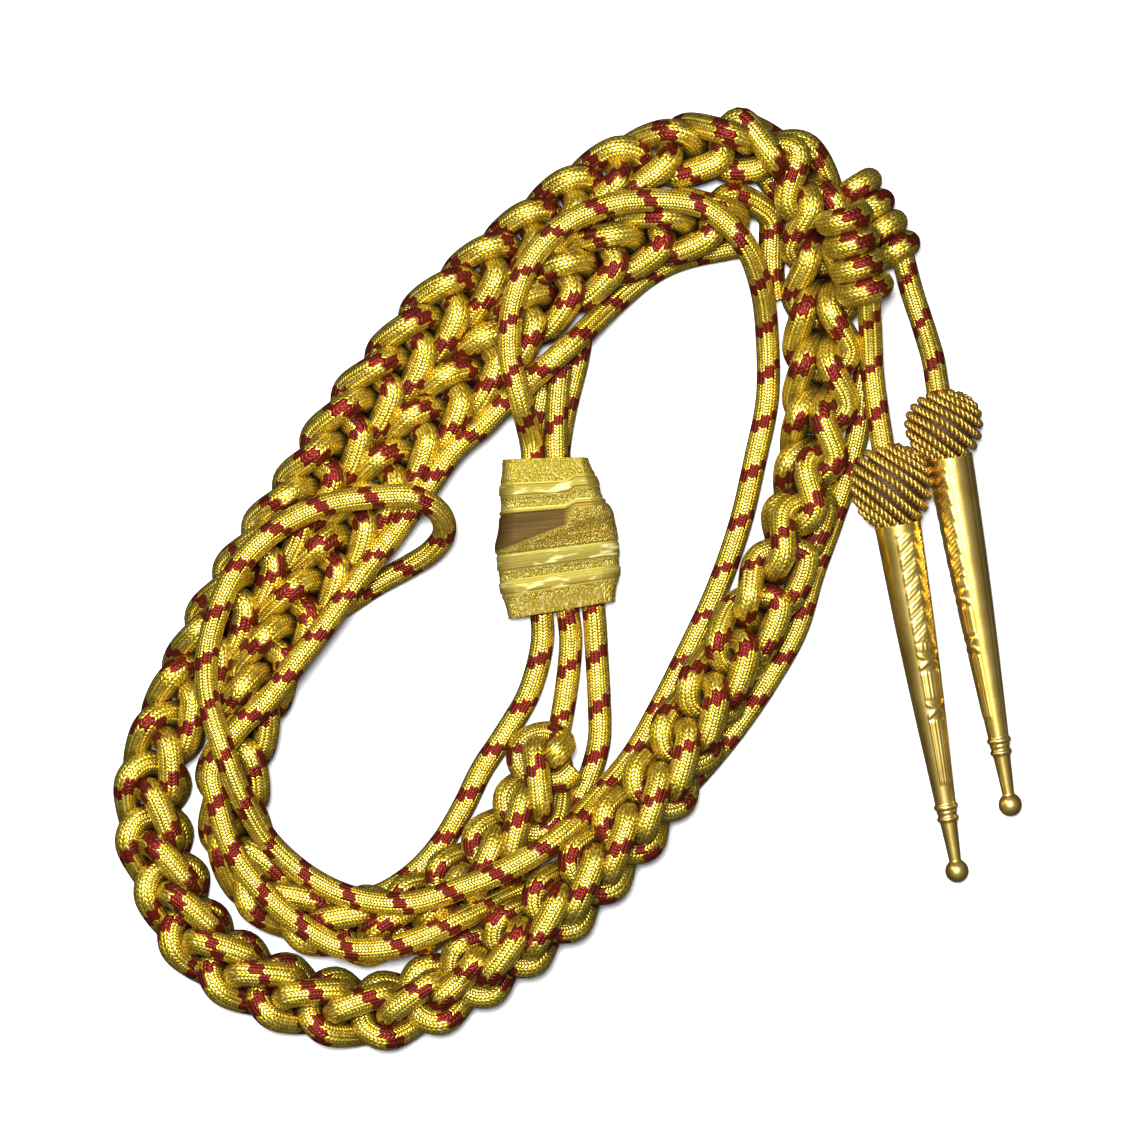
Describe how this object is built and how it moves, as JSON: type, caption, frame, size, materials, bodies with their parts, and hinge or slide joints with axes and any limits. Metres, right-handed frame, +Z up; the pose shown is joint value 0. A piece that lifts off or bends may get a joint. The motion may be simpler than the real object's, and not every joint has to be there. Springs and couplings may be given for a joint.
{
  "type": "aiguillette",
  "caption": "Gold cord aiguillette lying flat: chain-plaited cords, plain cord loops through a woven slide, and metal points on wrapped knots.",
  "frame": {"origin": "middle of the area it covers, on the surface it lies on", "axes": "+Z up, away from the surface; +Y towards the top of the ring in the picture, where the points' knots are; +X to the side where the points hang"},
  "size_m": [0.23, 0.2376, 0.0306],
  "materials": {
    "gold_cord": "braided metallic thread with a maroon fleck",
    "gold_lace": "woven metallic lace",
    "wound_wire": "wound gold wire thread over a core",
    "point_metal": "polished, with raised ornament"
  },
  "bodies": {
    "root": {"plait_outer_lower": "gold_cord", "plait_outer_upper": "gold_cord", "plait_inner": "gold_cord", "cord_loop_upper": "gold_cord", "cord_loop_lower": "gold_cord", "cord_right": "gold_cord", "cord_middle_long": "gold_cord", "cord_middle_short": "gold_cord", "slide": "gold_lace", "knot_1": "gold_cord", "knot_2": "gold_cord", "pendant_cord_1": "gold_cord", "pendant_cord_2": "gold_cord", "acorn_1": "wound_wire", "acorn_2": "wound_wire", "tag_1": "point_metal", "tag_2": "point_metal"}
  },
  "joints": []
}
